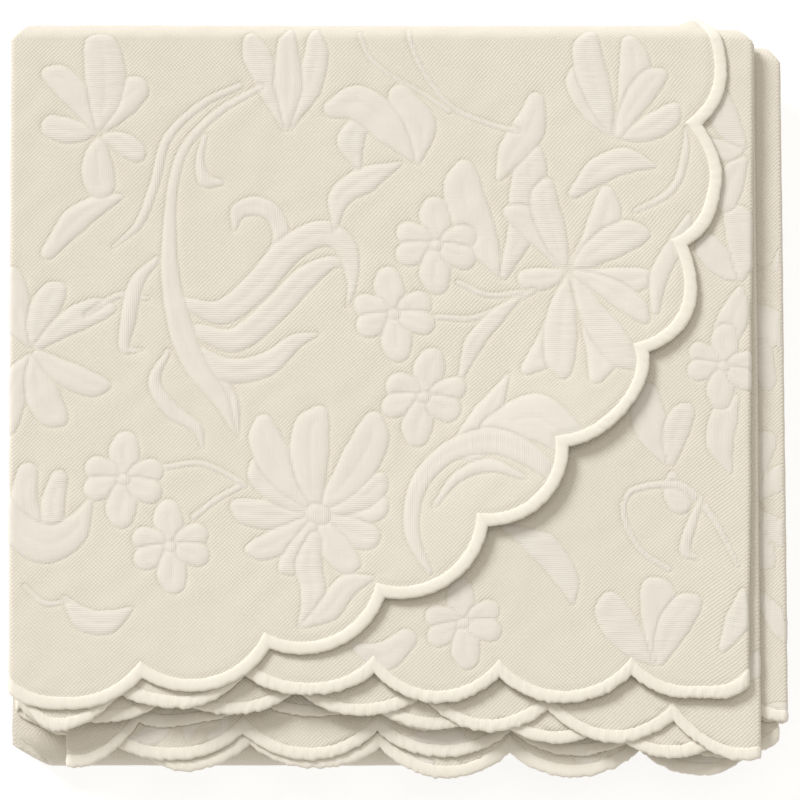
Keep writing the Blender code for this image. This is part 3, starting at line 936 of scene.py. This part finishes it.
def add_noise(tree, vector, scale, detail):
    """A noise texture read at vector."""
    node = tree.nodes.new("ShaderNodeTexNoise")
    node.inputs["Scale"].default_value = scale
    node.inputs["Detail"].default_value = detail
    tree.links.new(vector, node.inputs["Vector"])
    return node


def add_bump(tree, surface, height, distance):
    """Bumps a surface by height, at most distance metres high."""
    bump = tree.nodes.new("ShaderNodeBump")
    bump.inputs["Distance"].default_value = distance
    bump.inputs["Strength"].default_value = 0.8
    tree.links.new(height, bump.inputs["Height"])
    tree.links.new(bump.outputs["Normal"], surface.inputs["Normal"])


# %% The dotted ground weave
def dotted_weave_group():
    """Little raised dots in slanting rows, each a float over a few threads."""
    wanted = (("Vector", None), ("Pitch", 0.0029), ("Wander", 0.25))
    group, given, out = new_group("dotted_weave", wanted, ("Height",))
    noise = add_noise(group, given.outputs["Vector"], 160, 1)
    split = group.nodes.new("ShaderNodeSeparateXYZ")
    group.links.new(given.outputs["Vector"], split.inputs[0])
    turns = maths(group, "DIVIDE", 2 * math.pi, given.outputs["Pitch"])
    sway = maths(group, "MULTIPLY", maths(group, "SUBTRACT", noise.outputs[0], 0.5), given.outputs["Wander"])
    sway = maths(group, "MULTIPLY", sway, 6.0)
    level = maths(group, "ADD", maths(group, "MULTIPLY", split.outputs["X"], turns), sway)
    upright = maths(group, "ADD", maths(group, "MULTIPLY", split.outputs["Y"], turns), sway)
    dots = maths(group, "MULTIPLY", maths(group, "COSINE", level), maths(group, "COSINE", upright))
    slant = maths(group, "SINE", maths(group, "SUBTRACT", level, upright))
    height = maths(group, "MULTIPLY_ADD", slant, 0.12, maths(group, "MULTIPLY", dots, 0.8))
    height = maths(group, "MULTIPLY_ADD", height, 0.5, 0.5)
    group.links.new(height, out.inputs["Height"])
    return group


# %% The ribbed fill
def ribbed_fill_group():
    """Fine ribs one way or the other, broken up as spun yarn is."""
    wanted = (("Vector", None), ("Pitch", 0.0016), ("Turned", 0.0))
    group, given, out = new_group("ribbed_fill", wanted, ("Height",))
    split = group.nodes.new("ShaderNodeSeparateXYZ")
    group.links.new(given.outputs["Vector"], split.inputs[0])
    turns = maths(group, "DIVIDE", 2 * math.pi, given.outputs["Pitch"])
    ways = []
    for axis, stretch in (("X", (1.0, 0.13, 1.0)), ("Y", (0.13, 1.0, 1.0))):
        drawn = group.nodes.new("ShaderNodeVectorMath")
        drawn.operation = "MULTIPLY"
        drawn.inputs[1].default_value = stretch
        group.links.new(given.outputs["Vector"], drawn.inputs[0])
        noise = add_noise(group, drawn.outputs["Vector"], 330, 2)
        sway = maths(group, "MULTIPLY", noise.outputs[0], 3.0)
        rib = maths(group, "SINE", maths(group, "MULTIPLY_ADD", split.outputs[axis], turns, sway))
        creased = maths(group, "MULTIPLY_ADD", noise.outputs[0], 0.9, -0.1)
        ways.append(maths(group, "MULTIPLY_ADD", rib, 0.16, creased))
    mixed = group.nodes.new("ShaderNodeMix")
    group.links.new(given.outputs["Turned"], mixed.inputs["Factor"])
    group.links.new(ways[0], mixed.inputs["A"])
    group.links.new(ways[1], mixed.inputs["B"])
    group.links.new(mixed.outputs["Result"], out.inputs["Height"])
    return group


# %% Uneven tone
def cotton_tone_group():
    """Slow and quick changes of tone, from 0 to 1, as in undyed cotton."""
    group, given, out = new_group("cotton_tone", (("Vector", None), ("Quick", 90.0)), ("Tone",))
    slow, quick = group.nodes.new("ShaderNodeTexNoise"), group.nodes.new("ShaderNodeTexNoise")
    slow.inputs["Scale"].default_value = 9
    quick.inputs["Detail"].default_value = 3
    for noise in (slow, quick):
        group.links.new(given.outputs["Vector"], noise.inputs["Vector"])
    group.links.new(given.outputs["Quick"], quick.inputs["Scale"])
    tone = maths(group, "MULTIPLY_ADD", slow.outputs[0], 0.5, maths(group, "MULTIPLY", quick.outputs[0], 0.5))
    group.links.new(tone, out.inputs["Tone"])
    return group


dotted_weave = dotted_weave_group()
ribbed_fill = ribbed_fill_group()
cotton_tone = cotton_tone_group()


def use_group(tree, group, vector, **values):
    """Places a group in a material with its own values."""
    node = tree.nodes.new("ShaderNodeGroup")
    node.node_tree = group
    tree.links.new(vector, node.inputs["Vector"])
    for label, value in values.items():
        if isinstance(value, bpy.types.NodeSocket):
            tree.links.new(value, node.inputs[label])
        else:
            node.inputs[label].default_value = value
    return node.outputs[0]


# %% [markdown]
# The cloth material reads the flat UV map for the weave and the attributes for the figures. Inside a figure
# the threads lie smooth and ribbed and look a little cooler; outside it the ground is dotted, with painted
# shade in the pits between the dots. Along the stitched lines the cloth is pulled down, and painted shade
# darkens them.

# %% The cloth
GROUND = (0.722, 0.687, 0.612)
FIGURE = (0.712, 0.682, 0.626)
# The colour of painted shade in the weave's pits, along stitched lines and between binding ribs, and the darker
# end of the cotton's uneven tone.
PAINTED_SHADE_AND_TONE = (0.52, 0.43, 0.31)


def cloth_material():
    """Raised-pattern cotton."""
    material = bpy.data.materials.new("raised_cotton")
    material.use_nodes = True
    tree = material.node_tree
    surface = tree.nodes["Principled BSDF"]
    uv = tree.nodes.new("ShaderNodeUVMap")
    uv.uv_map = "flat_cloth"
    vector = uv.outputs["UV"]

    def attribute(name):
        node = tree.nodes.new("ShaderNodeAttribute")
        node.attribute_name = name
        return node.outputs["Fac"]

    figure = step_between(tree, attribute("depth"), -0.3, 0.9)
    outline = maths(tree, "ABSOLUTE", maths(tree, "ADD", attribute("depth"), 0.2))
    outline = maths(tree, "SUBTRACT", 1.0, step_between(tree, outline, 0.0, 1.3))
    stitched = maths(tree, "MAXIMUM", step_between(tree, attribute("line"), 0.35, 1.0), outline)
    turned = step_between(tree, attribute("weave"), 0.6, 1.4)
    dots = use_group(tree, dotted_weave, vector, Pitch=0.0029, Wander=0.25)
    ribs = use_group(tree, ribbed_fill, vector, Pitch=0.0015, Turned=turned)
    tone = use_group(tree, cotton_tone, vector, Quick=90.0)

    ground_high = maths(tree, "MULTIPLY", dots, 0.8)
    figure_high = maths(tree, "MULTIPLY_ADD", ribs, 0.75, 0.2)
    height = tree.nodes.new("ShaderNodeMix")
    tree.links.new(figure, height.inputs["Factor"])
    tree.links.new(ground_high, height.inputs["A"])
    tree.links.new(figure_high, height.inputs["B"])
    height = maths(tree, "SUBTRACT", height.outputs["Result"], maths(tree, "MULTIPLY", stitched, 0.45))
    add_bump(tree, surface, height, 0.0006)

    # Painted shade: the pits between the raised dots are darkened in colour.
    painted_pit_shade = maths(tree, "MULTIPLY", maths(tree, "SUBTRACT", 1.0, dots), 0.2)
    ground = blend_colours(tree, painted_pit_shade, GROUND, PAINTED_SHADE_AND_TONE)
    colour = blend_colours(tree, figure, ground, FIGURE)
    # Painted shade along the stitched lines and figure outlines, where the cloth is pulled down.
    colour = blend_colours(tree, maths(tree, "MULTIPLY", stitched, 0.12), colour, PAINTED_SHADE_AND_TONE)
    colour = blend_colours(tree, maths(tree, "MULTIPLY", tone, 0.12), colour, PAINTED_SHADE_AND_TONE)
    tree.links.new(colour, surface.inputs["Base Color"])
    rough = maths(tree, "MULTIPLY_ADD", figure, -0.1, 0.95)
    tree.links.new(rough, surface.inputs["Roughness"])
    surface.inputs["Specular IOR Level"].default_value = 0.25
    surface.inputs["Sheen Weight"].default_value = 0.12
    surface.inputs["Sheen Roughness"].default_value = 0.5
    return material


raised_cotton = cloth_material()
for piece in (top_panel, second_panel, inner_layers):
    piece.data.materials.clear()
    piece.data.materials.append(raised_cotton)

# %% [markdown]
# The binding's UV map runs along the edge and across it. Satin stitches lie across, side by side, so the
# ribs count along the edge. They are uneven, as thread is, and the outer rim is a little hairy.

# %% The stitched binding
BINDING_COLOUR = (0.84, 0.806, 0.73)


def binding_material():
    """Dense satin stitching."""
    material = bpy.data.materials.new("satin_stitch")
    material.use_nodes = True
    tree = material.node_tree
    surface = tree.nodes["Principled BSDF"]
    uv = tree.nodes.new("ShaderNodeUVMap")
    uv.uv_map = "along_edge"
    vector = uv.outputs["UV"]
    ribs = use_group(tree, ribbed_fill, vector, Pitch=0.00095, Turned=0.0)
    tone = use_group(tree, cotton_tone, vector, Quick=420.0)
    add_bump(tree, surface, ribs, 0.0004)
    # Painted shade: the hollows between the satin ribs are darkened in colour.
    painted_rib_shade = maths(tree, "MULTIPLY", maths(tree, "SUBTRACT", 1.0, ribs), 0.16)
    colour = blend_colours(tree, painted_rib_shade, BINDING_COLOUR, PAINTED_SHADE_AND_TONE)
    colour = blend_colours(tree, maths(tree, "MULTIPLY", tone, 0.1), colour, PAINTED_SHADE_AND_TONE)
    tree.links.new(colour, surface.inputs["Base Color"])
    rough = maths(tree, "MULTIPLY_ADD", tone, 0.2, 0.6)
    tree.links.new(rough, surface.inputs["Roughness"])
    surface.inputs["Specular IOR Level"].default_value = 0.3
    surface.inputs["Sheen Weight"].default_value = 0.15
    return material


stitched_binding.data.materials.append(binding_material())

# %% [markdown]
# Each piece is tied to the frame: it rides on the only body and stands for a node of the frame, which is
# hidden. The flat size and area that each cloth piece was cut to are printed.

# %% Tie the pieces to the frame
def flat_size(piece):
    """The flat width, length and area of a piece in metres, from its UV map and its outer faces."""
    uv = np.empty(len(piece.data.loops) * 2)
    piece.data.uv_layers["flat_cloth"].data.foreach_get("uv", uv)
    uv = uv.reshape(-1, 2)
    area = 0.0
    starts = np.empty(len(piece.data.polygons), int)
    totals = np.empty(len(piece.data.polygons), int)
    piece.data.polygons.foreach_get("loop_start", starts)
    piece.data.polygons.foreach_get("loop_total", totals)
    for first, total in zip(starts[totals == 4], totals[totals == 4]):
        a, b, c, d = uv[first : first + 4]
        area += abs((c[0] - a[0]) * (d[1] - b[1]) - (c[1] - a[1]) * (d[0] - b[0])) / 2
    width, length = uv.max(axis=0) - uv.min(axis=0)
    return (float(width), float(length)), min(area / 2, width * length)


for piece in (top_panel, second_panel, inner_layers):
    size, area = flat_size(piece)
    print(piece.name, "flat", [round(v, 3) for v in size], "area", round(area, 3), "m2")
    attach(piece, "root")
    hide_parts("cloth")
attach(stitched_binding, "root")
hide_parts("edge_binding")

# %% [markdown]
# The pile lies on a plain white table under a broad soft light from the rear left, with a weaker light from
# all round, so the shadows are faint and fall to the lower right.

# %% Table and light
def white_table():
    """A wide pale surface under the pile."""
    bpy.ops.object.select_all(action="DESELECT")
    bpy.ops.mesh.primitive_plane_add(size=12, location=(0, 0, 0))
    table = bpy.context.object
    table.name = "table"
    material = bpy.data.materials.new("white_table")
    material.use_nodes = True
    surface = material.node_tree.nodes["Principled BSDF"]
    surface.inputs["Base Color"].default_value = (0.4, 0.4, 0.4, 1)
    surface.inputs["Roughness"].default_value = 0.9
    surface.inputs["Specular IOR Level"].default_value = 0.1
    surface.inputs["Emission Color"].default_value = (1, 1, 1, 1)
    surface.inputs["Emission Strength"].default_value = 0.73
    table.data.materials.append(material)
    table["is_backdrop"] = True


def sun(name, strength, wide, towards, colour=(1, 1, 1)):
    """A soft distant light that shines along towards."""
    data = bpy.data.lights.new(name, "SUN")
    data.energy = strength
    data.angle = math.radians(wide)
    data.color = colour
    light = bpy.data.objects.new(name, data)
    light.rotation_euler = Vector(towards).to_track_quat("-Z", "Y").to_euler()
    bpy.context.scene.collection.objects.link(light)


white_table()
sun("window", 2.75, 22, (0.62, -0.66, -0.62), (0.985, 0.995, 1.0))
sun("fill", 0.4, 60, (-0.2, -0.1, -1.2))
world = bpy.data.worlds.new("room")
bpy.context.scene.world = world
world.use_nodes = True
world.node_tree.nodes["Background"].inputs["Color"].default_value = (1.0, 0.94, 0.85, 1)
world.node_tree.nodes["Background"].inputs["Strength"].default_value = 0.55
bpy.context.scene.view_settings.view_transform = "Standard"

# %% [markdown]
# The photograph looks almost straight down from the hem side with a long lens, so its edges run nearly
# parallel. The camera stands far off with a lens to match.

# %% Camera
ELEVATION = 72.0
DISTANCE = 8.0
SEEN_WIDE = 0.560
AIM = Vector((0.0025, -0.0020, 0.030))


def camera():
    """The photograph's view."""
    data = bpy.data.cameras.new("camera")
    data.lens = data.sensor_width * DISTANCE / SEEN_WIDE
    data.clip_end = 50
    back = Vector((0, -math.cos(math.radians(ELEVATION)), math.sin(math.radians(ELEVATION))))
    made = bpy.data.objects.new("camera", data)
    made.location = AIM + back * DISTANCE
    made.rotation_euler = (-back).to_track_quat("-Z", "Y").to_euler()
    bpy.context.scene.collection.objects.link(made)
    bpy.context.scene.camera = made


camera()

# %% [markdown]
# Last, the box of the frame and the box of the finished pieces are written side by side, so that their sizes
# can be compared.

# %% Compare sizes and finish
seen_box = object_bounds()
for label, box in (("frame", cad_box), ("pieces", seen_box)):
    print(label, "box", [list(np.round(corner, 4)) for corner in box])
